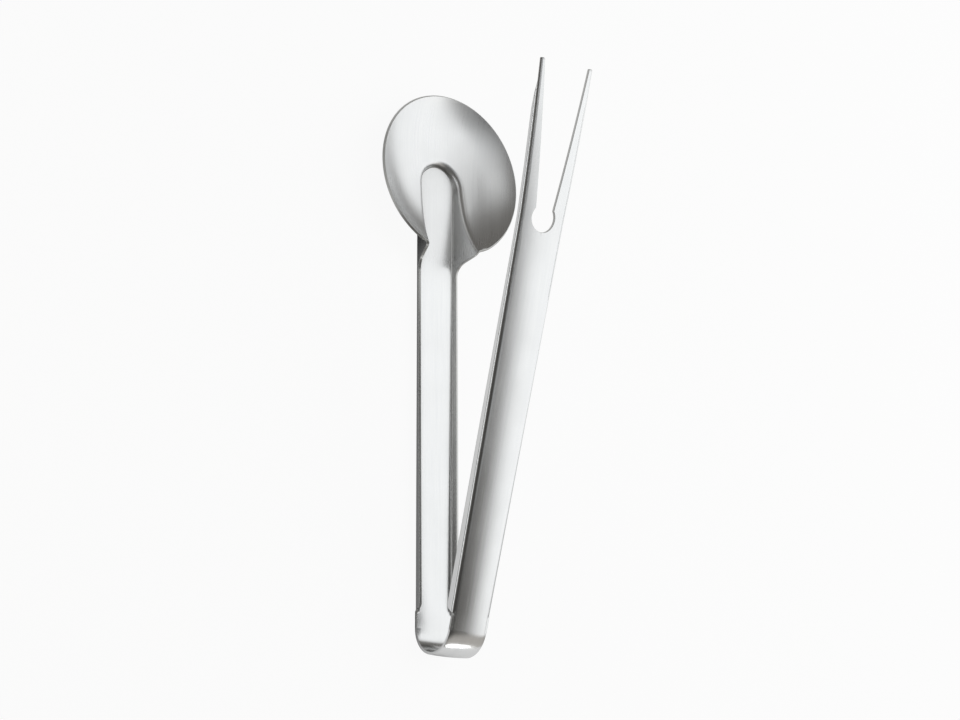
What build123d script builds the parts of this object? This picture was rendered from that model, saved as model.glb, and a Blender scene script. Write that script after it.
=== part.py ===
from build123d import *
from math import asin, cos, radians, sin, tan
import os

# Roasting tongs pressed and folded from stainless sheet, in millimetres and degrees.
# They lie on the flat back of the spoon arm: Z is up, Y runs along that arm towards its spoon and
# X is the width. The origin is on the arm's back, on its centre line, where its flanges begin.

# Sheet, its folds, and how far every cut runs past the metal
sheet = 1.5
fold_radius = 2.5
overrun = 4.0

# Spring bow: one round bend, with a flat strip between it and the flanges
bow_radius = 15.5
strip_width = 23.0
strip_run = 9.0
arm_opening = 16.7

# Channel that both arms share, its flanges' heights measured from the back
flange_height = 5.6
flange_flare = 8.0
flange_end_slant = 1.6
flange_end_radius = 3.0
neck_flange_height = 3.7
neck_flange_flare = 18.0

# Spoon arm
spoon_arm_width = 23.6
bowl_centre_run = 229.3
bowl_radius = 43.2
bowl_rim_height = 14.8
bowl_tilt = 4.6
bowl_floor_radius = 150.0
bowl_floor_reach = 22.0
bowl_shoulder_radius = 55.0
recess_setback = 4.0
recess_lip_radius = 4.0
neck_rise_run = 6.0
neck_foot_radius = 8.0
neck_top_radius = 5.0

# How far out from the bowl's middle the neck meets its rim, as a share of the rim's radius
neck_reach_share = 0.933

# Fork arm
arm_length = 281.0
fork_base_width = 24.0
fork_throat_width = 27.2
fork_tip_width = 33.0
fork_crown = 0.5
fork_bend = 3.9
keyhole_run = 202.0
keyhole_radius = 7.15
slot_base_gap = 10.2
slot_tip_gap = 28.6
tip_taper = 26.0
tip_flange_height = 1.3
tine_tip_radius = 0.7

# Sections that the fork is drawn through, and its crown at them as a share of the full crown
fork_crown_shares = (0.1, 0.5, 0.9, 1.0, 1.0, 1.0, 1.0, 1.0, 1.0, 1.0, 1.0)

# Closeness that counts as lying on a surface, and where along an edge it is looked at
contact = 0.001
edge_shares = (0.2, 0.5, 0.8)

turn = 360
half_turn = 180
recess_run = bowl_centre_run - recess_setback
neck_run = bowl_centre_run - bowl_radius * neck_reach_share
neck_foot_run = neck_run - neck_rise_run
fork_reach = arm_length - keyhole_run
draw_height = bowl_rim_height + bowl_radius * tan(radians(bowl_tilt)) + overrun


def section_plane(run):
    """Upright plane across an arm, with the arm's width as X and its depth as Y."""
    return Plane(origin=(0, run, 0), x_dir=(1, 0, 0), z_dir=(0, -1, 0))


def flare_at(run):
    """Outward lean of the flanges, which grows evenly towards the neck."""
    return radians(flange_flare + (neck_flange_flare - flange_flare) * run / neck_run)


def channel_section(run, width, depth, crown=0.0, lift=0.0):
    """Section of an arm at one place: its outer skin at depth 0, its inner skin at depth sheet."""
    lean = flare_at(run)
    half = width / 2 - depth / cos(lean)
    foot = depth + crown
    foot_half = half + foot * tan(lean)
    top_half = half + draw_height * tan(lean)
    with BuildSketch(section_plane(run)) as drawn:
        with BuildLine():
            if crown > 0:
                ThreePointArc((-foot_half, lift + foot), (0, lift + depth), (foot_half, lift + foot))
            else:
                Line((-foot_half, lift + foot), (foot_half, lift + foot))
            Line((foot_half, lift + foot), (top_half, lift + draw_height))
            Line((top_half, lift + draw_height), (-top_half, lift + draw_height))
            Line((-top_half, lift + draw_height), (-foot_half, lift + foot))
        make_face()
        fillet(drawn.vertices().sort_by(Axis.Y)[:2], fold_radius - depth)
    return drawn.sketch.faces()[0]


def spoon_channel(depth):
    """One skin of the spoon arm's channel, with the rounded end that is pressed into the bowl."""
    first = channel_section(0, spoon_arm_width, depth)
    last = channel_section(recess_run, spoon_arm_width, depth)
    straight = loft([first, last], ruled=True)
    reach = spoon_arm_width + draw_height
    side = section_plane(recess_run) * Pos(reach / 2, 0) * Rectangle(reach, reach + draw_height)
    end = revolve(last & side, Axis((0, recess_run, 0), (0, 0, 1)), half_turn)
    return straight + end


def bowl_place():
    """Middle of the bowl's rim, tipped so that the rim is lower at the spoon's tip."""
    return Pos(0, bowl_centre_run, bowl_rim_height) * Rot(-bowl_tilt, 0, 0)


def bowl_angles():
    """Steepness where the bowl's floor meets its shoulder, and at its rim."""
    join = asin(bowl_floor_reach / bowl_floor_radius)
    shoulder_out = (bowl_floor_radius - bowl_shoulder_radius) * sin(join)
    return join, asin((bowl_radius - shoulder_out) / bowl_shoulder_radius)


def bowl_point(angle, radius, shoulder):
    """Point of the bowl's profile where it is this steep, as distance from the axis and height."""
    join, rim = bowl_angles()
    gap = bowl_floor_radius - bowl_shoulder_radius
    out = gap * sin(join)
    drop = bowl_shoulder_radius * cos(rim)
    if shoulder:
        return out + radius * sin(angle), drop - radius * cos(angle)
    return radius * sin(angle), drop + gap * cos(join) - radius * cos(angle)


def bowl_skin(depth):
    """One skin of the bowl, going on past its rim as a plain cone."""
    join, rim = bowl_angles()
    floor_radius = bowl_floor_radius + sheet - depth
    shoulder_radius = bowl_shoulder_radius + sheet - depth
    bottom = bowl_point(0, floor_radius, False)
    corner = bowl_point(join, shoulder_radius, True)
    edge = bowl_point(rim, shoulder_radius, True)
    rise = 2 * draw_height
    top = (edge[0] + (rise - edge[1]) / tan(rim), rise)
    with BuildSketch(Plane.XZ) as profile:
        with BuildLine():
            ThreePointArc(bottom, bowl_point(join / 2, floor_radius, False), corner)
            ThreePointArc(corner, bowl_point((join + rim) / 2, shoulder_radius, True), edge)
            Polyline(edge, top, (0, rise), bottom)
        make_face()
    return bowl_place() * revolve(profile.sketch, Axis.Z, turn)


def spoon_skin(depth, crease_radius):
    """One skin of the whole spoon arm, its crease round the recess eased by this radius."""
    channel = spoon_channel(depth)
    bowl = bowl_skin(depth)
    room = 4 * arm_length
    above = Pos(0, 0, draw_height + room / 2) * Box(room, room, room)
    joined = channel + bowl - above
    skins = (channel.shell(), bowl.shell())
    crease = [
        edge
        for edge in joined.edges()
        if all(skin.distance_to(edge @ share) < contact for skin in skins for share in edge_shares)
    ]
    return fillet(crease, crease_radius)


def rim_plane_height(run):
    """Height of the plane that the bowl's rim lies in."""
    return bowl_rim_height + (bowl_centre_run - run) * tan(radians(bowl_tilt))


def above_line(points, radii):
    """Everything above a line of run and height points, its corners rounded, through the width."""
    top = 2 * draw_height
    first, last = points[0], points[-1]
    with BuildSketch(Plane.YZ) as outline:
        with BuildLine():
            FilletPolyline(*points, radius=radii)
            Polyline(last, (last[0], top), (first[0], top), first)
        make_face()
    return extrude(outline.sketch, 2 * bowl_radius, both=True)


def flange_end_points():
    """Start of both arms' rim line: slanting up from the sheet where the flanges begin."""
    return [(-overrun, sheet), (0, sheet), (flange_end_slant, flange_height)]


def spoon_rim_cutter():
    """Trims the spoon arm's flanges, up to where they meet the bowl's rim at the neck."""
    past = neck_run + neck_top_radius
    points = flange_end_points() + [
        (neck_foot_run, neck_flange_height),
        (neck_run, rim_plane_height(neck_run)),
        (past, rim_plane_height(past)),
    ]
    return above_line(points, [0, flange_end_radius, neck_foot_radius, neck_top_radius])


def bowl_rim_cutter():
    """Trims the bowl square to its sheet at the rim, everywhere but over the neck."""
    rim = bowl_angles()[1]
    inner = (bowl_radius - overrun * sin(rim), overrun * cos(rim))
    top = 2 * draw_height
    reach = top / tan(rim)
    outer = (bowl_radius + reach, -reach / tan(rim))
    with BuildSketch(Plane.XZ) as profile:
        with BuildLine():
            Polyline(inner, outer, (outer[0], top), (inner[0], top), inner)
        make_face()
    ring = bowl_place() * revolve(profile.sketch, Axis.Z, turn)
    room = 2 * arm_length
    return ring & Pos(0, neck_run + room / 2, 0) * Box(room, room, room)


def flat_strip():
    """Flat strip between the bow and the flanges."""
    return Pos(0, -strip_run / 2, sheet / 2) * Box(strip_width, strip_run, sheet)


def spoon_arm():
    """The flanged spoon arm: flat strip, open channel, and round bowl with the pressed recess."""
    shaped = spoon_skin(0, recess_lip_radius - sheet) - spoon_skin(sheet, recess_lip_radius)
    return shaped - spoon_rim_cutter() - bowl_rim_cutter() + flat_strip()


def fork_lift(run):
    """How far the fork has bent inwards at this place."""
    beyond = max(run - keyhole_run, 0)
    return tan(radians(fork_bend)) * beyond ** 2 / (2 * fork_reach)


def fork_width(run):
    """Width of the fork arm, which spreads faster beyond the keyhole."""
    if run < keyhole_run:
        return fork_base_width + (fork_throat_width - fork_base_width) * run / keyhole_run
    beyond = (run - keyhole_run) / fork_reach
    return fork_throat_width + (fork_tip_width - fork_throat_width) * beyond


def fork_skin(depth):
    """One skin of the fork arm, drawn smoothly through its sections."""
    sections = []
    for place, crown_share in enumerate(fork_crown_shares):
        run = arm_length * place / (len(fork_crown_shares) - 1)
        crown = fork_crown * crown_share
        sections.append(channel_section(run, fork_width(run), depth, crown, fork_lift(run)))
    return loft(sections)


def fork_rim_cutter():
    """Trims the fork arm's flanges, which run out into the tips of the tines."""
    taper_run = arm_length - tip_taper
    bends = [keyhole_run, (keyhole_run + taper_run) / 2, taper_run]
    points = flange_end_points() + [(neck_foot_run, neck_flange_height)]
    points += [(run, neck_flange_height + fork_lift(run)) for run in bends]
    points += [(arm_length + overrun, fork_lift(arm_length) + tip_flange_height)]
    ease = neck_foot_radius
    return above_line(points, [0, flange_end_radius, ease, ease, ease, ease])


def fork_slot():
    """Keyhole and the widening slot between the two tines."""
    widening = (slot_tip_gap - slot_base_gap) / fork_reach
    end_gap = slot_tip_gap + widening * overrun
    end_run = arm_length + overrun
    with BuildSketch(Plane.XY) as outline:
        with Locations((0, keyhole_run)):
            Circle(keyhole_radius)
        with BuildLine():
            Polyline(
                (-slot_base_gap / 2, keyhole_run),
                (slot_base_gap / 2, keyhole_run),
                (end_gap / 2, end_run),
                (-end_gap / 2, end_run),
                (-slot_base_gap / 2, keyhole_run),
            )
        make_face()
    return extrude(outline.sketch, draw_height, both=True)


def fork_place():
    """Frame of the fork arm, whose inside faces the spoon arm across the bow."""
    lean = radians(arm_opening)
    along = strip_run * cos(lean) - strip_run - bow_radius * sin(lean)
    up = strip_run * sin(lean) + bow_radius + bow_radius * cos(lean)
    return Plane(origin=(0, along, up), x_dir=(-1, 0, 0), z_dir=(0, sin(lean), -cos(lean)))


def fork_arm():
    """The flanged fork arm: flat strip, open channel, and two tines beside a keyhole slot."""
    shaped = fork_skin(0) - fork_skin(sheet) - fork_rim_cutter() - fork_slot()
    tips = shaped.faces().sort_by(Axis.Y)[-2:]
    corners = [edge for tip in tips for edge in tip.edges().filter_by(Axis.Z)]
    return fork_place() * (fillet(corners, tine_tip_radius) + flat_strip())


def spring_bow():
    """The round bend of flat strip that joins the two arms and springs them apart."""
    section = Plane.XZ.offset(strip_run) * Pos(0, sheet / 2) * Rectangle(strip_width, sheet)
    axis = Axis((0, -strip_run, bow_radius), (-1, 0, 0))
    return revolve(section, axis, half_turn - arm_opening)


if __name__ == "__main__":
    os.makedirs("parts", exist_ok=True)
    export_step(spoon_arm(), "parts/spoon_arm.step")
    export_step(spring_bow(), "parts/spring_bow.step")
    export_step(fork_arm(), "parts/fork_arm.step")
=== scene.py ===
import bmesh
import bpy
import math
from mathutils import Matrix, Quaternion, Vector


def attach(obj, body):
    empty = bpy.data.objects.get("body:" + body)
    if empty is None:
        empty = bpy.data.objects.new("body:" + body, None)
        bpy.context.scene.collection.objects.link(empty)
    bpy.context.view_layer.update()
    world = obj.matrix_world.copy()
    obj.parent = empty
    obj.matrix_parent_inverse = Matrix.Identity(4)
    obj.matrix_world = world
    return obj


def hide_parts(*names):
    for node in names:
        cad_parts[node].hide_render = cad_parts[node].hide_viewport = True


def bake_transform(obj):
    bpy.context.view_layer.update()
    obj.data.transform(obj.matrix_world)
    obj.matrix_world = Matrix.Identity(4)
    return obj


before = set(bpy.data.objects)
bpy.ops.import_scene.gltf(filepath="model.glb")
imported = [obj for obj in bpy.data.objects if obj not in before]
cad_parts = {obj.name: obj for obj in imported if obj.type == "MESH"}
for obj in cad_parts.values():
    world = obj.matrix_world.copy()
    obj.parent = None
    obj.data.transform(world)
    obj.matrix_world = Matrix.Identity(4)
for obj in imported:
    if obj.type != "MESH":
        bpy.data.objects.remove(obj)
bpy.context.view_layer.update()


# Spoon arm: 1.5 mm stainless sheet whose edges fold up into low flanges, which sweep up a short
# neck into the round bowl's rim. The flat web runs on into the bowl as a pressed recess with a soft
# lip. Sizes are in millimetres, and a run is a distance along the arm from its flanges' start.
sheet = 1.5
fold_radius = 1.0
strip_run, strip_half = 9.0, 11.5
strip_end = 8.0
soft_edge, rim_band = 0.26, 0.44
flange_flare, neck_flange_flare = 8.0, 18.0
flange_height, neck_flange_height = 5.6, 3.7
flange_slant = 1.6
flange_start = [(-4.0, sheet), (0.0, sheet), (flange_slant, flange_height)]
spoon_half = 11.8
bowl_run, bowl_radius, bowl_rim, bowl_tilt = 229.3, 43.2, 14.8, math.radians(4.6)
floor_radius, floor_reach, shoulder_radius = 150.0, 22.0, 55.0
recess_run, lip_radius = 225.3, 4.0
neck_share = 0.933
neck_run = bowl_run - neck_share * bowl_radius
neck_sweep_before, neck_sweep_after, lip_before_neck = 6.0, 5.0, 8.0
spoon_flange_reach = 24.0
web_steps, fold_steps, wall_steps, lip_steps, bowl_steps, bowl_step = 12, 16, 60, 24, 80, 0.5
web_columns, spoon_columns, recess_steps = 5, 38, 32
fold_density, wall_density = 6.0, 1.0
neck_wall_density, lip_density, bowl_density = 1.2, 3.0, 0.8
same_place = 1e-7


def rounded_line(points, radii):
    """A bent line in run and height, its inner corners rounded, as points along it."""
    arc_steps = 12
    line = [points[0]]
    for before, corner, after, radius in zip(points, points[1:], points[2:], radii):
        if radius == 0:
            line.append(corner)
            continue
        middle = Vector(corner)
        back, on = (Vector(before) - middle).normalized(), (Vector(after) - middle).normalized()
        half = back.angle(on) / 2
        centre = middle + (back + on).normalized() * radius / math.sin(half)
        start = middle + back * radius / math.tan(half)
        end = middle + on * radius / math.tan(half)
        for step in range(arc_steps + 1):
            spoke = (start - centre).lerp(end - centre, step / arc_steps).normalized() * radius
            line.append(tuple(centre + spoke))
    return line + [points[-1]]


def height_on(line, run):
    """Height of such a line at one run."""
    for low, high in zip(line, line[1:]):
        if low[0] <= run <= high[0] and high[0] > low[0]:
            return low[1] + (high[1] - low[1]) * (run - low[0]) / (high[0] - low[0])
    return line[-1][1]


def flare_at(run):
    """How far the flange leans outwards at this run."""
    return math.radians(flange_flare + (neck_flange_flare - flange_flare) * run / neck_run)


def fold_at(run):
    """How far the fold has turned up at this run: not at all in the flat strip by the bow."""
    share = min(max((run + flange_slant) / flange_slant, 0), 1)
    return share * share * (3 - 2 * share)


def channel(half, flare, crown, fold, reach):
    """Inner skin of the folded channel as (out, height, length) points, with its fold's two ends."""
    foot = half - sheet / math.cos(flare) + (sheet + crown) * math.tan(flare)
    slope = math.atan(2 * crown / foot)
    turn = math.pi / 2 - flare - slope
    web = foot - fold_radius * math.tan(turn / 2)
    points = []
    for step in range(web_steps + 1):
        out = web * step / web_steps
        points.append((out, sheet + crown * (out / foot) ** 2, out))
    out, height, length = points[-1]
    bend = turn * fold_radius
    part = bend / fold_steps
    angle = slope
    for step in range(fold_steps):
        angle += turn * fold / fold_steps / 2
        out, height = out + math.cos(angle) * part, height + math.sin(angle) * part
        length += part
        angle += turn * fold / fold_steps / 2
        points.append((out, height, length))
    for step in range(1, wall_steps + 1):
        far = reach * step / wall_steps
        points.append((out + math.cos(angle) * far, height + math.sin(angle) * far, length + far))
    return points, web, web + bend


def bowl_height(x, run):
    """Height of the bowl's inner skin over a point of the plan."""
    join = math.asin(floor_reach / floor_radius)
    gap = floor_radius - shoulder_radius
    out = gap * math.sin(join)
    rim = math.asin((bowl_radius - out) / shoulder_radius)
    drop = shoulder_radius * math.cos(rim)
    rise = 0.0
    for _ in range(10):
        far = math.hypot(x, (run - bowl_run) * math.cos(bowl_tilt) - rise * math.sin(bowl_tilt))
        if far < floor_reach:
            depth = drop + gap * math.cos(join) - math.sqrt(floor_radius ** 2 - far ** 2)
        elif far < bowl_radius:
            depth = drop - math.sqrt(shoulder_radius ** 2 - (far - out) ** 2)
        else:
            depth = (far - bowl_radius) * math.tan(rim)
        rise = (depth - (run - bowl_run) * math.sin(bowl_tilt)) / math.cos(bowl_tilt)
    return bowl_rim + rise


def rim_plane(run):
    """Height of the bowl's rim at this run."""
    return bowl_rim + (bowl_run - run) * math.tan(bowl_tilt)


def spoon_profile(start, way):
    """Skin from the middle of the web outwards: channel, then lip and bowl where they are reached."""
    run = start[1]
    flare = flare_at(run)
    points, fold_start, fold_end = channel(spoon_half, flare, 0.0, fold_at(run), spoon_flange_reach)
    if run < neck_run - lip_before_neck:
        return points, [(fold_start, fold_density), (fold_end, wall_density)]
    nudge = 0.05
    level = lambda out: bowl_height(start[0] + way[0] * out, run + way[1] * out)
    steep = lambda out: math.atan((level(out + nudge) - level(out - nudge)) / (2 * nudge))
    foot = spoon_half - sheet / math.cos(flare)
    centre = foot + 2 * lip_radius
    for _ in range(30):
        lean = steep(centre)
        for _ in range(4):
            lean = steep(centre - lip_radius * math.sin(lean))
        touch = centre - lip_radius * math.sin(lean)
        low = level(touch) - lip_radius * math.cos(lean)
        centre = foot + low * math.tan(flare) + lip_radius / math.cos(flare)
    wall_top = low + lip_radius * math.sin(flare)
    points = [point for point in points if point[1] < wall_top]
    length = points[-1][2] + (wall_top - points[-1][1]) / math.cos(flare)
    lip_start = length
    lip_turn = math.pi / 2 + lean - math.pi + flare
    for step in range(lip_steps + 1):
        angle = math.pi - flare + lip_turn * step / lip_steps
        if step:
            length += abs(lip_turn) * lip_radius / lip_steps
        out, height = centre + lip_radius * math.cos(angle), low + lip_radius * math.sin(angle)
        points.append((out, height, length))
    lip_end = length
    out = points[-1][0]
    for step in range(1, bowl_steps + 1):
        far = out + bowl_step * step
        length += math.hypot(bowl_step, level(far) - points[-1][1])
        points.append((far, level(far), length))
    marks = [(fold_start, fold_density), (fold_end, neck_wall_density)]
    return points, marks + [(lip_start, lip_density), (lip_end, bowl_density)]


def clipped(points, top, least):
    """Developed length at which the skin reaches its rim."""
    for low, high in zip(points, points[1:]):
        under, over = low[1] - top(low[0]), high[1] - top(high[0])
        if over > 0:
            share = max(-under, 0) / (over - under)
            return max(low[2] + (high[2] - low[2]) * share, least)
    return points[-1][2]


def at_length(points, length):
    """Place on the skin at a developed length."""
    for low, high in zip(points, points[1:]):
        if length <= high[2]:
            share = (length - low[2]) / (high[2] - low[2])
            return low[0] + (high[0] - low[0]) * share, low[1] + (high[1] - low[1]) * share
    return points[-1][:2]


def spread(marks, end, count):
    """Lengths of this many columns up to the rim, closer where the marks ask for it."""
    bounds = [(start, density) for start, density in marks if start < end - rim_band]
    stops = [start for start, density in bounds[1:]] + [end - rim_band]
    parts = [(start, stop, density) for (start, density), stop in zip(bounds, stops)]
    total = sum((stop - start) * density for start, stop, density in parts)
    lengths = []
    for column in range(1, count + 1):
        left = total * column / count
        for start, stop, density in parts:
            if left <= (stop - start) * density + 1e-9:
                lengths.append(start + left / density)
                break
            left -= (stop - start) * density
    return lengths + [end]


def skin_mesh(name, rows):
    """Both halves of a sheet's inner skin from the rows of its right half, in metres."""
    made = bmesh.new()
    flat = made.loops.layers.uv.new("UVMap")
    for side in (1, -1):
        grid, spots = [], {}
        for row in rows:
            line = [made.verts.new((side * x / 1000, y / 1000, z / 1000)) for x, y, z, u, v in row]
            grid.append(line)
            for vertex, point in zip(line, row):
                spots[vertex] = (side * point[3] / 1000, point[4] / 1000)
        for low, high in zip(grid, grid[1:]):
            for column in range(len(low) - 1):
                corners = [low[column], low[column + 1], high[column + 1], high[column]]
                if (corners[0].co - corners[3].co).length < same_place:
                    corners.pop()
                face = made.faces.new(corners if side == 1 else corners[::-1])
                face.smooth = True
                for loop in face.loops:
                    loop[flat].uv = spots[loop.vert]
    bmesh.ops.remove_doubles(made, verts=made.verts, dist=same_place)
    mesh = bpy.data.meshes.new(name)
    made.to_mesh(mesh)
    made.free()
    piece = bpy.data.objects.new(name, mesh)
    bpy.context.scene.collection.objects.link(piece)
    return piece


def work_in(piece):
    """Turn the piece's modifiers into plain mesh."""
    view = bpy.context.evaluated_depsgraph_get()
    worked_piece = piece.evaluated_get(view)
    done = bpy.data.meshes.new_from_object(
        worked_piece, preserve_all_data_layers=True, depsgraph=view)
    piece.modifiers.clear()
    piece.data = done


def press_sheet(piece, butt):
    """Give the skin its thickness and tumble its cut edges soft, all but the butt by the bow."""
    corner_turn, face_edge_weight, butt_limit = math.radians(38), 0.4, butt / 1000 + 1e-6
    thick = piece.modifiers.new("thickness", "SOLIDIFY")
    thick.thickness = sheet / 1000
    thick.offset = -1
    thick.use_even_offset = True
    thick.use_quality_normals = True
    thick.material_offset_rim = 1
    piece.data.materials.append(None)
    piece.data.materials.append(None)
    work_in(piece)
    made = bmesh.new()
    made.from_mesh(piece.data)
    weights = made.edges.layers.float.new("bevel_weight_edge")
    worn = made.verts.layers.float.new("worn_edge")
    for edge in made.edges:
        cut = sum(face.material_index for face in edge.link_faces)
        corner = cut == 2 and edge.calc_face_angle() > corner_turn
        if cut == 1 or corner:
            at_butt = [vertex.co.y < butt_limit for vertex in edge.verts]
            if all(at_butt) or (corner and any(at_butt)):
                edge.smooth = False
                continue
            edge[weights] = 1.0 if corner else face_edge_weight
            for vertex in edge.verts:
                vertex[worn] = 1.0
    for face in made.faces:
        face.material_index = 0
    made.to_mesh(piece.data)
    made.free()
    soft = piece.modifiers.new("tumbled_edges", "BEVEL")
    soft.limit_method = "WEIGHT"
    soft.width = soft_edge / face_edge_weight / 1000
    soft.segments = 3
    soft.use_clamp_overlap = False
    soft.harden_normals = True
    work_in(piece)


neck_sweep = [
    (neck_run - neck_sweep_before, neck_flange_height),
    (neck_run, rim_plane(neck_run)),
    (neck_run + neck_sweep_after, rim_plane(neck_run + neck_sweep_after)),
]
spoon_rim = rounded_line(flange_start + neck_sweep, [0, 3.0, 8.0, 5.0])
row_spacing = (
    (-1.6, 0.2, 24), (3.2, 0.8, 4), (7.0, 5.7, 30), (174.5, 2.0, 2), (178.0, 0.5, 50), (203.0, 1.0, 22),
)
runs = [-strip_run, -8.0, -6.0, -4.0, -2.6, -1.8]
for first, distance, count in row_spacing:
    runs += [first + distance * step for step in range(count)]
spoon_stations = [((0.0, run), (1.0, 0.0)) for run in runs] + [((0.0, recess_run), (1.0, 0.0))]
for step in range(1, recess_steps + 1):
    angle = math.pi / 2 * step / recess_steps
    spoon_stations.append(((0.0, recess_run), (math.cos(angle), math.sin(angle))))
spoon_rows = []
for start, way in spoon_stations:
    points, marks = spoon_profile(start, way)
    if start[1] > neck_run + neck_sweep_after:
        top = lambda out: rim_plane(start[1] + way[1] * out)
    else:
        top = lambda out: height_on(spoon_rim, start[1])
    least = strip_half if start[1] < strip_end else 0.0
    end = strip_half if start[1] <= 0 else clipped(points, top, least)
    lengths = [marks[0][0] * step / web_columns for step in range(web_columns + 1)]
    row = []
    for length in lengths + spread(marks, end, spoon_columns):
        out, height = at_length(points, length)
        x, y = way[0] * out, start[1] + way[1] * out
        row.append((x, y, height, way[0] * length, start[1] + way[1] * length))
    spoon_rows.append(row)
spoon_arm = skin_mesh("spoon_arm_sheet", spoon_rows)
press_sheet(spoon_arm, -strip_run)
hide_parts("spoon_arm")
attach(spoon_arm, "spoon_side")


def wire(tree, socket, value):
    """Feed a socket from another node, or set it to a plain value."""
    if isinstance(value, bpy.types.NodeSocket):
        tree.links.new(value, socket)
    else:
        socket.default_value = value


def worked(tree, kind, *values):
    """Result of a sum of this kind over plain values and other nodes."""
    made = tree.nodes.new("ShaderNodeMath")
    made.operation = kind
    for socket, value in zip(made.inputs, values):
        wire(tree, socket, value)
    return made.outputs[0]


def ranged(tree, value, before, after, eased=False):
    """A node's value carried over from one range to another, and held at both ends."""
    made = tree.nodes.new("ShaderNodeMapRange")
    if eased:
        made.interpolation_type = "SMOOTHSTEP"
    for socket, bound in zip(("From Min", "From Max", "To Min", "To Max"), (*before, *after)):
        made.inputs[socket].default_value = bound
    tree.links.new(value, made.inputs["Value"])
    return made.outputs[0]


def brushed_sheet():
    """Brushed steel's surface: fine lines along the sheet, a few deeper scratches, slow clouding."""
    group = bpy.data.node_groups.new("brushed_sheet", "ShaderNodeTree")
    group.interface.new_socket("Vector", in_out="INPUT", socket_type="NodeSocketVector")
    for name, size in (
        ("Line width", 0.00022), ("Line length", 0.03), ("Scratch share", 0.5), ("Cloud size", 0.03),
    ):
        made = group.interface.new_socket(name, in_out="INPUT", socket_type="NodeSocketFloat")
        made.default_value = size
    for name in ("Lines", "Clouds", "Height"):
        group.interface.new_socket(name, in_out="OUTPUT", socket_type="NodeSocketFloat")
    nodes, links = group.nodes, group.links
    entry, leave = nodes.new("NodeGroupInput"), nodes.new("NodeGroupOutput")

    def stretched(width, length, shift, detail):
        scale = nodes.new("ShaderNodeCombineXYZ")
        links.new(worked(group, "DIVIDE", 1, width), scale.inputs[0])
        links.new(worked(group, "DIVIDE", 1, length), scale.inputs[1])
        drawn = nodes.new("ShaderNodeVectorMath")
        drawn.operation = "MULTIPLY_ADD"
        drawn.inputs[2].default_value = (shift, shift, 0)
        links.new(entry.outputs["Vector"], drawn.inputs[0])
        links.new(scale.outputs[0], drawn.inputs[1])
        noise = nodes.new("ShaderNodeTexNoise")
        noise.inputs["Scale"].default_value = 1
        noise.inputs["Detail"].default_value = detail
        noise.inputs["Roughness"].default_value = 0.65
        links.new(drawn.outputs[0], noise.inputs["Vector"])
        return noise.outputs[0]

    def times(value, factor):
        return worked(group, "MULTIPLY", value, factor)

    width, length = entry.outputs["Line width"], entry.outputs["Line length"]
    fine = stretched(width, length, 0.0, 3)
    broad = stretched(times(width, 6), times(length, 3), 31.0, 2)
    lines = worked(group, "ADD", times(fine, 0.6), times(broad, 0.4))
    sparse = stretched(times(width, 1.6), times(length, 0.6), 77.0, 0)
    scratches = times(ranged(group, sparse, (0.7, 0.8), (0, 1)), entry.outputs["Scratch share"])
    clouds = nodes.new("ShaderNodeTexNoise")
    clouds.inputs["Detail"].default_value = 3
    links.new(worked(group, "DIVIDE", 1, entry.outputs["Cloud size"]), clouds.inputs["Scale"])
    links.new(entry.outputs["Vector"], clouds.inputs["Vector"])
    links.new(lines, leave.inputs["Lines"])
    links.new(clouds.outputs[0], leave.inputs["Clouds"])
    links.new(worked(group, "SUBTRACT", lines, scratches), leave.inputs["Height"])
    return group


brushed = brushed_sheet()
brush_dark, brush_light = (0.565, 0.57, 0.575), (0.65, 0.65, 0.645)
handled_tone = (0.571, 0.5734, 0.5734)
# The first tone on the next line is painted shade for the hollows; the second is the cut edges' own
# colour.
hollow_painted_shade_tone, cut_edge_tone = (0.16, 0.155, 0.14), (0.42, 0.42, 0.41)
smooth_line, rough_line, cut_edge_roughness = 0.17, 0.24, 0.06
# How far the painted hollow shade looks for nearby sheet, and where that shade fades out.
painted_shade_reach, painted_shade_starts, painted_shade_ends = 0.014, 0.5, 0.85
brush_relief, relief_strength = 0.00002, 0.3
bowl_satin, satin_start, satin_full = 0.1, 0.165, 0.205


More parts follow.
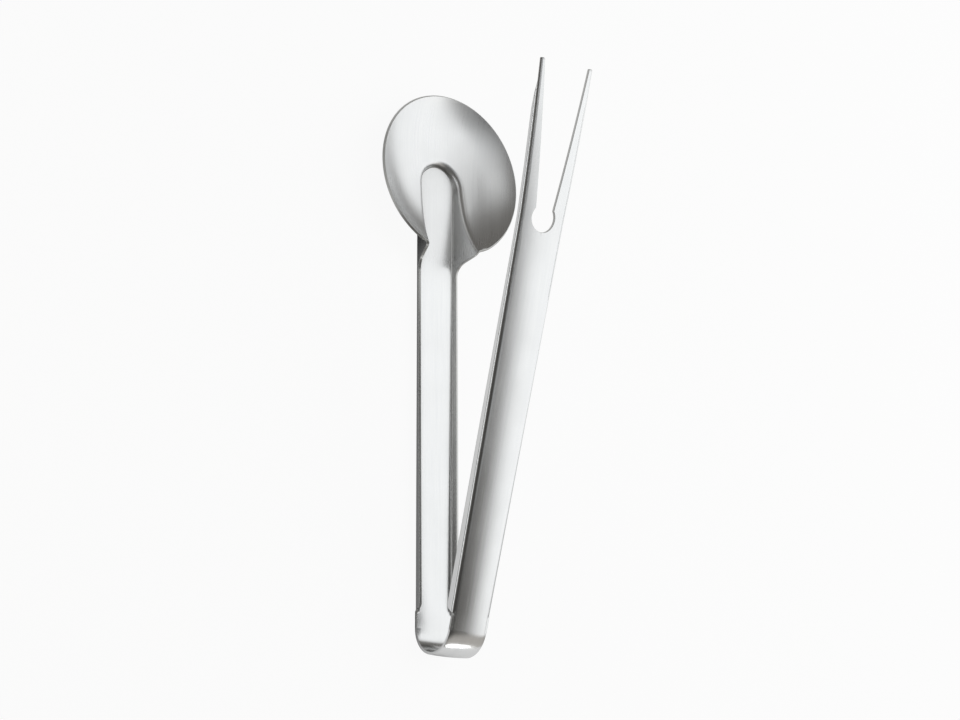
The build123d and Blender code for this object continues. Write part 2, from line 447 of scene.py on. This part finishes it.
def stainless(name, satin=0.0):
    """Brushed stainless sheet: its lines follow the sheet's own UV map. It is darker and duller on
    its cut edges, has painted shade that darkens its hollows, and is satin past the neck."""
    made = bpy.data.materials.new(name)
    made.use_nodes = True
    tree = made.node_tree
    nodes, links = tree.nodes, tree.links
    shader = nodes["Principled BSDF"]
    shader.inputs["Metallic"].default_value = 1
    along = nodes.new("ShaderNodeUVMap")
    along.uv_map = "UVMap"
    grain = nodes.new("ShaderNodeGroup")
    grain.node_tree = brushed
    links.new(along.outputs[0], grain.inputs["Vector"])
    lines, clouds = grain.outputs["Lines"], grain.outputs["Clouds"]
    cut_edge = nodes.new("ShaderNodeAttribute")
    cut_edge.attribute_name = "worn_edge"
    middle_range = (0.3, 0.7)

    def blend(share, first, second):
        mixed = nodes.new("ShaderNodeMix")
        mixed.data_type = "RGBA"
        links.new(share, mixed.inputs[0])
        for socket, value in ((mixed.inputs[6], first), (mixed.inputs[7], second)):
            wire(tree, socket, (*value, 1) if isinstance(value, tuple) else value)
        return mixed.outputs[2]

    toned = blend(ranged(tree, lines, middle_range, (0, 1)), brush_dark, brush_light)
    handled = blend(ranged(tree, clouds, middle_range, (0, 0.35)), toned, handled_tone)
    # Painted shade: ambient occlusion darkens the base colour in the sheet's hollows.
    hollow_shade_node = nodes.new("ShaderNodeAmbientOcclusion")
    hollow_shade_node.only_local = True
    hollow_shade_node.samples = 8
    hollow_shade_node.inputs["Distance"].default_value = painted_shade_reach
    unshaded_share = ranged(tree, hollow_shade_node.outputs["AO"], (painted_shade_starts, painted_shade_ends), (0, 1))
    painted_shade_tone = blend(unshaded_share, hollow_painted_shade_tone, handled)
    tone = blend(cut_edge.outputs["Fac"], painted_shade_tone, cut_edge_tone)
    links.new(tone, shader.inputs["Base Color"])
    line_gloss = ranged(tree, lines, middle_range, (smooth_line, rough_line))
    cloud_gloss = ranged(tree, clouds, middle_range, (-0.03, 0.03))
    run = nodes.new("ShaderNodeSeparateXYZ")
    links.new(along.outputs[0], run.inputs[0])
    pressed = ranged(tree, run.outputs[1], (satin_start, satin_full), (0, satin))
    edge_gloss = worked(tree, "MULTIPLY", cut_edge.outputs["Fac"], cut_edge_roughness)
    gloss = line_gloss
    for part in (cloud_gloss, pressed, edge_gloss):
        gloss = worked(tree, "ADD", gloss, part)
    links.new(gloss, shader.inputs["Roughness"])
    bump = nodes.new("ShaderNodeBump")
    bump.inputs["Strength"].default_value = relief_strength
    bump.inputs["Distance"].default_value = brush_relief
    links.new(grain.outputs["Height"], bump.inputs["Height"])
    links.new(bump.outputs[0], shader.inputs["Normal"])
    return made


spoon_arm.data.materials.clear()
spoon_arm.data.materials.append(stainless("brushed_spoon_arm", bowl_satin))


# Spring bow: the flat strip of the same sheet, bent once round a bar through 163 degrees, so that it
# holds the two arms apart and gives as they are squeezed. It runs into both arms with no seam.
bend_radius, bend_angle, strip_width = 15.5, 163.3, 23.0
edge_drop, bend_steps = 0.8, 97


def bent_strip():
    """Geometry Nodes: a strip with soft long edges, swept round one bend in the upright plane."""
    tree = bpy.data.node_groups.new("bent_strip", "GeometryNodeTree")
    tree.interface.new_socket("Geometry", in_out="OUTPUT", socket_type="NodeSocketGeometry")
    lengths = ("Bend radius", "Strip width", "Sheet", "Edge radius", "Flat run", "Crown")
    for name in lengths + ("Bend angle",):
        tree.interface.new_socket(name, in_out="INPUT", socket_type="NodeSocketFloat")
    tree.interface.new_socket("Steps", in_out="INPUT", socket_type="NodeSocketInt")
    tree.interface.new_socket("Finish", in_out="INPUT", socket_type="NodeSocketMaterial")
    nodes, links = tree.nodes, tree.links
    entry, leave = nodes.new("NodeGroupInput"), nodes.new("NodeGroupOutput")
    radius, angle, width, thick, edge, flat_run = (
        entry.outputs[name]
        for name in ("Bend radius", "Bend angle", "Strip width", "Sheet", "Edge radius", "Flat run")
    )

    def together(x, y, z):
        """Vector of three values."""
        made = nodes.new("ShaderNodeCombineXYZ")
        for socket, value in zip(made.inputs, (x, y, z)):
            wire(tree, socket, value)
        return made.outputs[0]

    def times(value, factor):
        return worked(tree, "MULTIPLY", value, factor)

    arc = nodes.new("GeometryNodeCurveArc")
    arc.mode = "RADIUS"
    arc.inputs["Start Angle"].default_value = math.radians(-90)
    links.new(entry.outputs["Steps"], arc.inputs["Resolution"])
    links.new(worked(tree, "SUBTRACT", radius, times(thick, 0.5)), arc.inputs["Radius"])
    links.new(times(angle, -1), arc.inputs["Sweep Angle"])
    stand = nodes.new("GeometryNodeTransform")
    stand.inputs["Rotation"].default_value = (math.radians(90), 0, math.radians(90))
    links.new(arc.outputs["Curve"], stand.inputs["Geometry"])
    links.new(together(0, times(flat_run, -1), radius), stand.inputs["Translation"])
    spot = nodes.new("GeometryNodeSplineParameter")
    keep = nodes.new("GeometryNodeCaptureAttribute")
    keep.capture_items.new("FLOAT", "Along")
    keep.capture_items.new("FLOAT", "Share")
    links.new(stand.outputs["Geometry"], keep.inputs["Geometry"])
    links.new(spot.outputs["Length"], keep.inputs[1])
    links.new(spot.outputs["Factor"], keep.inputs[2])
    section = nodes.new("GeometryNodeCurvePrimitiveQuadrilateral")
    links.new(width, section.inputs[0])
    links.new(thick, section.inputs[1])
    ease = nodes.new("GeometryNodeFilletCurve")
    ease.mode = "POLY"
    ease.inputs["Count"].default_value = 4
    links.new(section.outputs[0], ease.inputs["Curve"])
    links.new(edge, ease.inputs["Radius"])
    cuts = nodes.new("GeometryNodeSubdivideCurve")
    cuts.inputs["Cuts"].default_value = 7
    links.new(ease.outputs[0], cuts.inputs["Curve"])
    sweep = nodes.new("GeometryNodeCurveToMesh")
    sweep.inputs["Fill Caps"].default_value = True
    links.new(keep.outputs["Geometry"], sweep.inputs["Curve"])
    links.new(cuts.outputs[0], sweep.inputs["Profile Curve"])
    place = nodes.new("GeometryNodeInputPosition")
    apart = nodes.new("ShaderNodeSeparateXYZ")
    links.new(place.outputs[0], apart.inputs[0])
    across, run, height = apart.outputs
    out = worked(tree, "DIVIDE", across, times(width, 0.5))
    grown = ranged(tree, keep.outputs[2], (0, 1), (0, 1), eased=True)
    dip = times(times(out, out), times(grown, entry.outputs["Crown"]))
    inward = nodes.new("ShaderNodeVectorMath")
    inward.operation = "NORMALIZE"
    from_axis = times(worked(tree, "ADD", run, flat_run), -1)
    links.new(together(0, from_axis, worked(tree, "SUBTRACT", radius, height)), inward.inputs[0])
    pull = nodes.new("ShaderNodeVectorMath")
    pull.operation = "SCALE"
    links.new(inward.outputs[0], pull.inputs[0])
    links.new(dip, pull.inputs["Scale"])
    crown = nodes.new("GeometryNodeSetPosition")
    links.new(sweep.outputs[0], crown.inputs["Geometry"])
    links.new(pull.outputs[0], crown.inputs["Offset"])
    store = nodes.new("GeometryNodeStoreNamedAttribute")
    store.data_type = "FLOAT2"
    store.domain = "CORNER"
    store.inputs["Name"].default_value = "UVMap"
    back = worked(tree, "SUBTRACT", times(keep.outputs[1], -1), flat_run)
    links.new(crown.outputs[0], store.inputs["Geometry"])
    links.new(together(across, back, 0), store.inputs["Value"])
    whole = nodes.new("GeometryNodeRealizeInstances")
    links.new(store.outputs[0], whole.inputs[0])
    finish = nodes.new("GeometryNodeSetMaterial")
    links.new(whole.outputs[0], finish.inputs["Geometry"])
    links.new(entry.outputs["Finish"], finish.inputs["Material"])
    links.new(finish.outputs[0], leave.inputs[0])
    return tree


spring_bow = bpy.data.objects.new("spring_bow_strip", bpy.data.meshes.new("spring_bow_strip"))
bpy.context.scene.collection.objects.link(spring_bow)
bend = spring_bow.modifiers.new("bend", "NODES")
bend.node_group = bent_strip()
strip_sizes = {
    "Bend radius": bend_radius / 1000, "Strip width": strip_width / 1000, "Sheet": sheet / 1000,
    "Edge radius": soft_edge / 1000, "Flat run": strip_run / 1000, "Crown": edge_drop / 1000,
    "Bend angle": math.radians(bend_angle), "Steps": bend_steps, "Finish": stainless("brushed_bow"),
}
for item in bend.node_group.interface.items_tree:
    if item.in_out == "INPUT":
        bend[item.identifier] = strip_sizes[item.name]
work_in(spring_bow)
spring_bow.data.shade_smooth()
spring_bow.data.set_sharp_from_angle(angle=math.radians(50))
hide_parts("spring_bow")
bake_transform(spring_bow)


# Fork arm: the same sheet, its back slightly crowned and spreading to two tines. A keyhole is
# punched where the slot between them ends, and the low flanges run out into the tines' tips.
# It is built lying like the spoon arm, and then turned over and set on the bow's other end.
fork_root_half, fork_throat_half, fork_tip_half = 12.0, 13.6, 16.5
fork_crown, fork_length, keyhole_run, keyhole_radius = 0.7, 281.0, 202.0, 7.15
slot_root_half, slot_tip_half = 5.1, 14.3
fork_reach = fork_length - keyhole_run
fork_lean, tine_rise = math.radians(16.7), math.radians(3.9)
fork_flange_reach, fork_columns, back_columns = 9.0, 16, 9
tip_taper, tip_flange_height, tip_trim, rim_overrun = 26, 1.3, 0.25, 4
mouth = math.radians(37.6)
fan_run, keyhole_row, mouth_row = 166, 187.0, 209.5
fan_steps, keyhole_steps, tine_steps = 14, 36, 56
least_fold_share, slot_band_share, web_to_foot = 0.85, 0.4, 0.9


def fork_lift(run):
    """How far the fork has bent up at this run."""
    return math.tan(tine_rise) * max(run - keyhole_run, 0) ** 2 / (2 * fork_reach)


def fork_half(run):
    """Half the fork arm's width at this run."""
    if run < keyhole_run:
        return fork_root_half + (fork_throat_half - fork_root_half) * max(run, 0) / keyhole_run
    return fork_throat_half + (fork_tip_half - fork_throat_half) * (run - keyhole_run) / fork_reach


def slot_half(run):
    """Half the slot's width at this run."""
    return slot_root_half + (slot_tip_half - slot_root_half) * (run - keyhole_run) / fork_reach


taper_run = fork_length - tip_taper
fork_rim = rounded_line(
    flange_start + [(neck_run - neck_sweep_before, neck_flange_height)]
    + [(run, neck_flange_height + fork_lift(run))
       for run in (keyhole_run, (keyhole_run + taper_run) / 2, taper_run)]
    + [(fork_length + rim_overrun, fork_lift(fork_length) + tip_flange_height)],
    [0, 3.0, 8.0, 8.0, 8.0, 8.0],
)
inner_edge = [((0.0, run), run) for run in runs if run < fan_run]
for step in range(fan_steps):
    share = step / fan_steps
    start = fan_run + (keyhole_run - keyhole_radius - fan_run) * share
    inner_edge.append(((0.0, start), fan_run + (keyhole_row - fan_run) * share))
for step in range(keyhole_steps + 1):
    angle = -math.pi / 2 + (math.pi / 2 + mouth) * step / keyhole_steps
    start = (keyhole_radius * math.cos(angle), keyhole_run + keyhole_radius * math.sin(angle))
    inner_edge.append((start, keyhole_row + (mouth_row - keyhole_row) * step / keyhole_steps))
mouth_run = keyhole_run + keyhole_radius * math.sin(mouth)
for step in range(1, tine_steps + 1):
    run = mouth_run + (fork_length - tip_trim - mouth_run) * step / tine_steps
    row_run = run + (mouth_row - mouth_run) * (1 - step / tine_steps)
    inner_edge.append(((slot_half(run), run), row_run))
fork_rows = []
for (inner, start), run in inner_edge:
    points, web, folded = channel(
        fork_half(run), flare_at(max(run, 0)), fork_crown, fold_at(run), fork_flange_reach)
    least = strip_half if run < strip_end else web + least_fold_share * (folded - web)
    top = lambda out: height_on(fork_rim, run) - fork_lift(run)
    end = strip_half if run <= 0 else clipped(points, top, least)
    edge = web - inner
    band = slot_band_share * min(1, edge)
    row = []
    back_lengths = [band + (edge - band) * step / back_columns for step in range(back_columns + 1)]
    for length in [0.0] + back_lengths:
        share = length / edge
        x, y = inner + (web - inner) * share, start + (run - start) * share
        rise = fork_crown * (x / web) ** 2 * (web / (web + web_to_foot)) ** 2
        row.append((x, y, sheet + rise + fork_lift(y), x, y))
    for length in spread([(web, fold_density), (folded, wall_density)], end, fork_columns):
        out, height = at_length(points, length)
        row.append((out, run, height + fork_lift(run), length, run))
    fork_rows.append(row)
fork_arm = skin_mesh("fork_arm_sheet", fork_rows)
press_sheet(fork_arm, -strip_run)
fork_origin = Vector((0, -0.004834, 0.03293))
lean_cos, lean_sin = math.cos(fork_lean), math.sin(fork_lean)
turned_over = Matrix(((-1, 0, 0), (0, lean_cos, lean_sin), (0, lean_sin, -lean_cos)))
fork_arm.data.transform(Matrix.Translation(fork_origin) @ turned_over.to_4x4())
fork_arm.data.materials.clear()
fork_arm.data.materials.append(stainless("brushed_fork_arm"))
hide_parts("fork_arm")
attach(fork_arm, "fork_side")


# Worktop: a plain pale matt board, seen as white paper, that keeps the tongs' soft shadow. In the
#  steel it shows as the same paper, with painted shade that darkens its glow close to the tongs.
white_to_camera, white_in_steel, shade_reach = 0.93, 0.95, 0.1
bpy.ops.mesh.primitive_plane_add(size=20)
worktop = bpy.context.object
worktop.name = "worktop"
board = bpy.data.materials.new("pale_board")
board.use_nodes = True
tree = board.node_tree
nodes, links = tree.nodes, tree.links
shader = nodes["Principled BSDF"]
shader.inputs["Base Color"].default_value = (0.9, 0.9, 0.9, 1)
shader.inputs["Roughness"].default_value = 0.9
ray = nodes.new("ShaderNodeLightPath")
# Painted shade: ambient occlusion darkens the board's glow, as the steel sees it, close to the tongs.
open_share = nodes.new("ShaderNodeAmbientOcclusion")
open_share.samples = 8
open_share.inputs["Distance"].default_value = shade_reach
painted_contact_shade = worked(tree, "POWER", open_share.outputs["AO"], 2)
mirrored = worked(tree, "MULTIPLY", painted_contact_shade, white_in_steel)
glow = nodes.new("ShaderNodeEmission")
links.new(worked(tree, "MAXIMUM", ray.outputs["Is Camera Ray"], mirrored), glow.inputs["Strength"])
share = worked(tree, "MULTIPLY", ray.outputs["Is Camera Ray"], white_to_camera)
for kind in ("Is Glossy Ray", "Is Transmission Ray"):
    share = worked(tree, "ADD", share, ray.outputs[kind])
both = nodes.new("ShaderNodeMixShader")
links.new(share, both.inputs[0])
links.new(shader.outputs[0], both.inputs[1])
links.new(glow.outputs[0], both.inputs[2])
links.new(both.outputs[0], nodes["Material Output"].inputs["Surface"])
worktop.data.materials.append(board)


# Studio: a dim room, darker overhead and paler towards the wall in front, with softboxes round the
# tongs. Each softbox fades out towards its own edges.
bpy.context.scene.view_settings.view_transform = "Standard"
world = bpy.data.worlds.new("studio")
bpy.context.scene.world = world
world.use_nodes = True
room = world.node_tree
room.nodes["Background"].inputs["Color"].default_value = (1.0, 0.96, 0.9, 1)
room_direction = room.nodes.new("ShaderNodeTexCoord").outputs["Generated"]


def glow_towards(way, closeness, brightness):
    """Brightness that changes from one value to another towards a direction of the room."""
    facing = room.nodes.new("ShaderNodeVectorMath")
    facing.operation = "DOT_PRODUCT"
    facing.inputs[1].default_value = way
    room.links.new(room_direction, facing.inputs[0])
    return ranged(room, facing.outputs["Value"], closeness, brightness, eased=True)


ceiling = glow_towards((-0.1, -0.42, 0.902), (0.75, 0.96), (0.19, 0.065))
front_wall = glow_towards((0.655, -0.705, 0.27), (0.8, 0.97), (0.0, 0.4))
room.links.new(worked(room, "ADD", ceiling, front_wall), room.nodes["Background"].inputs["Strength"])


def softbox(name, place, aim, width, height, brightness, soft, turn=0):
    """A rectangle of light of this radiance, which fades out towards its own edges."""
    data = bpy.data.lights.new(name, "AREA")
    data.shape = "RECTANGLE"
    data.size, data.size_y = width, height
    data.energy = brightness * math.pi * width * height
    data.color = (0.965, 0.985, 1.0)
    data.use_nodes = True
    tree = data.node_tree
    across = tree.nodes.new("ShaderNodeTexCoord")
    split = tree.nodes.new("ShaderNodeSeparateXYZ")
    tree.links.new(across.outputs["UV"], split.inputs[0])
    from_edges = [worked(tree, "PINGPONG", split.outputs[axis], 0.5) for axis in (0, 1)]
    fades = [ranged(tree, from_edge, (0, soft), (0, 1), eased=True) for from_edge in from_edges]
    tree.links.new(worked(tree, "MULTIPLY", *fades), tree.nodes["Emission"].inputs["Strength"])
    lamp = bpy.data.objects.new(name, data)
    bpy.context.scene.collection.objects.link(lamp)
    lamp.location = place
    aimed = (Vector(aim) - Vector(place)).to_track_quat("-Z", "Y")
    lamp.rotation_euler = (aimed @ Quaternion((0, 0, 1), math.radians(turn))).to_euler()


softbox("softbox_key", (0.706, 0.26, 0.559), (0, 0.1, 0.03), 1.416, 1.38, 1.34, 0.22, 35)
softbox("softbox_over", (0.03, 0.41, 0.87), (0.03, 0.37, 0.0), 0.7, 1.1, 0.85, 0.35)
softbox("softbox_fill", (0.25, -0.13, 0.87), (0.1, 0.2, 0.03), 0.3, 0.36, 0.5, 0.4)
softbox("softbox_low", (0.526, -0.899, 0.125), (0, 0.1, 0.03), 0.406, 0.176, 9.6, 0.325, 5)
softbox("softbox_left", (-0.86, -0.02, 0.38), (0, 0.1, 0.05), 1.3, 0.3, 1.7, 0.3)
softbox("softbox_back", (-0.8, 0.62, 0.3), (0, 0.1, 0.03), 0.7, 0.4, 0.7, 0.35)


# Camera: at the photograph's place and angle, about 1.6 m from the tongs.
camera_data = bpy.data.cameras.new("camera")
camera = bpy.data.objects.new("camera", camera_data)
bpy.context.scene.collection.objects.link(camera)
bpy.context.scene.camera = camera
camera_data.sensor_width = 36
camera_data.lens = 116.625
camera_data.clip_start, camera_data.clip_end = 0.05, 20
camera_place = Vector((-0.9491013, -0.2329922, 1.2579857))
right = Vector((0.788950135, 0.000514270, 0.614457012))
up = Vector((-0.139179340, 0.974158580, 0.177888080))
back = Vector((-0.598487090, -0.225864540, 0.768634120))
camera_turn = Matrix((right, up, back)).transposed()
camera.matrix_world = Matrix.Translation(camera_place) @ camera_turn.to_4x4()
